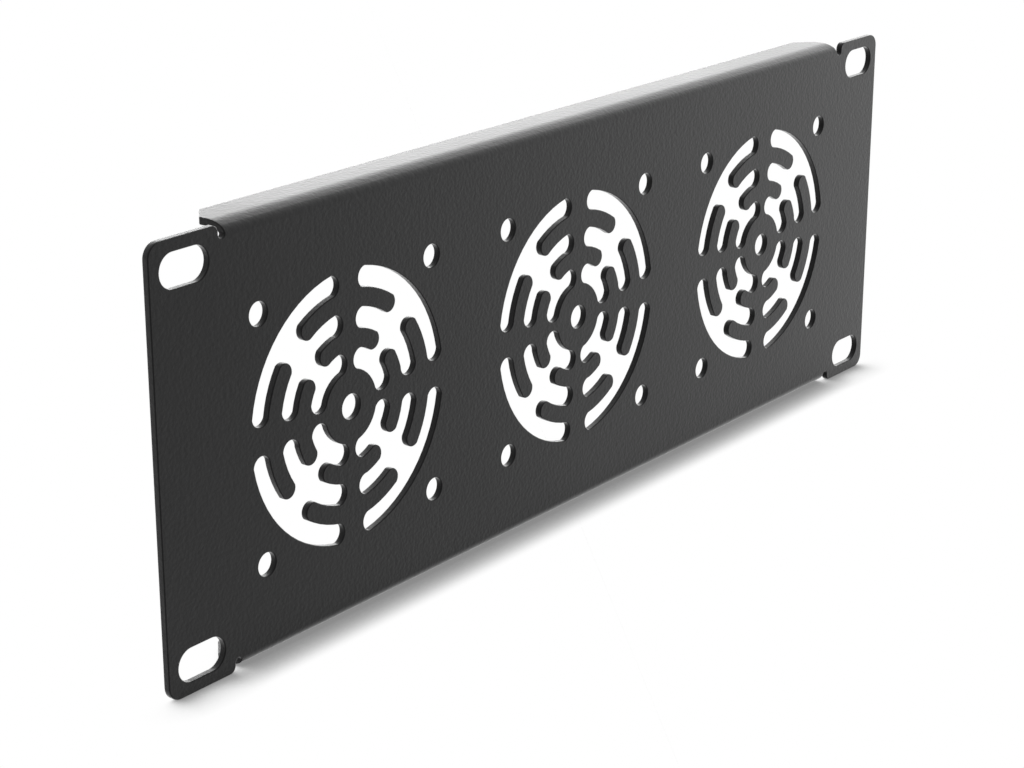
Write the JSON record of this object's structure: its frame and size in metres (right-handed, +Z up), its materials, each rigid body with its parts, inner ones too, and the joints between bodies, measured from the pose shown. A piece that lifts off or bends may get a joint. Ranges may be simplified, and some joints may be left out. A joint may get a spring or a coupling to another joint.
{
  "type": "rack fan panel",
  "caption": "Folded sheet-steel panel for a small equipment rack, with slotted ears, stiffening flanges and a row of ring-pattern air grilles with screw holes for square fans.",
  "frame": {"origin": "middle of the four rack slots, on the rear face of the sheet, which meets the rack", "axes": "+X along the panel to the right as seen from the front, +Y to the rear, into the rack, +Z up"},
  "size_m": [0.254, 0.0105, 0.0882],
  "materials": {
    "powder_coat": "fine-textured black powder coat"
  },
  "bodies": {
    "root": {"fan_panel": "powder_coat"}
  },
  "joints": []
}
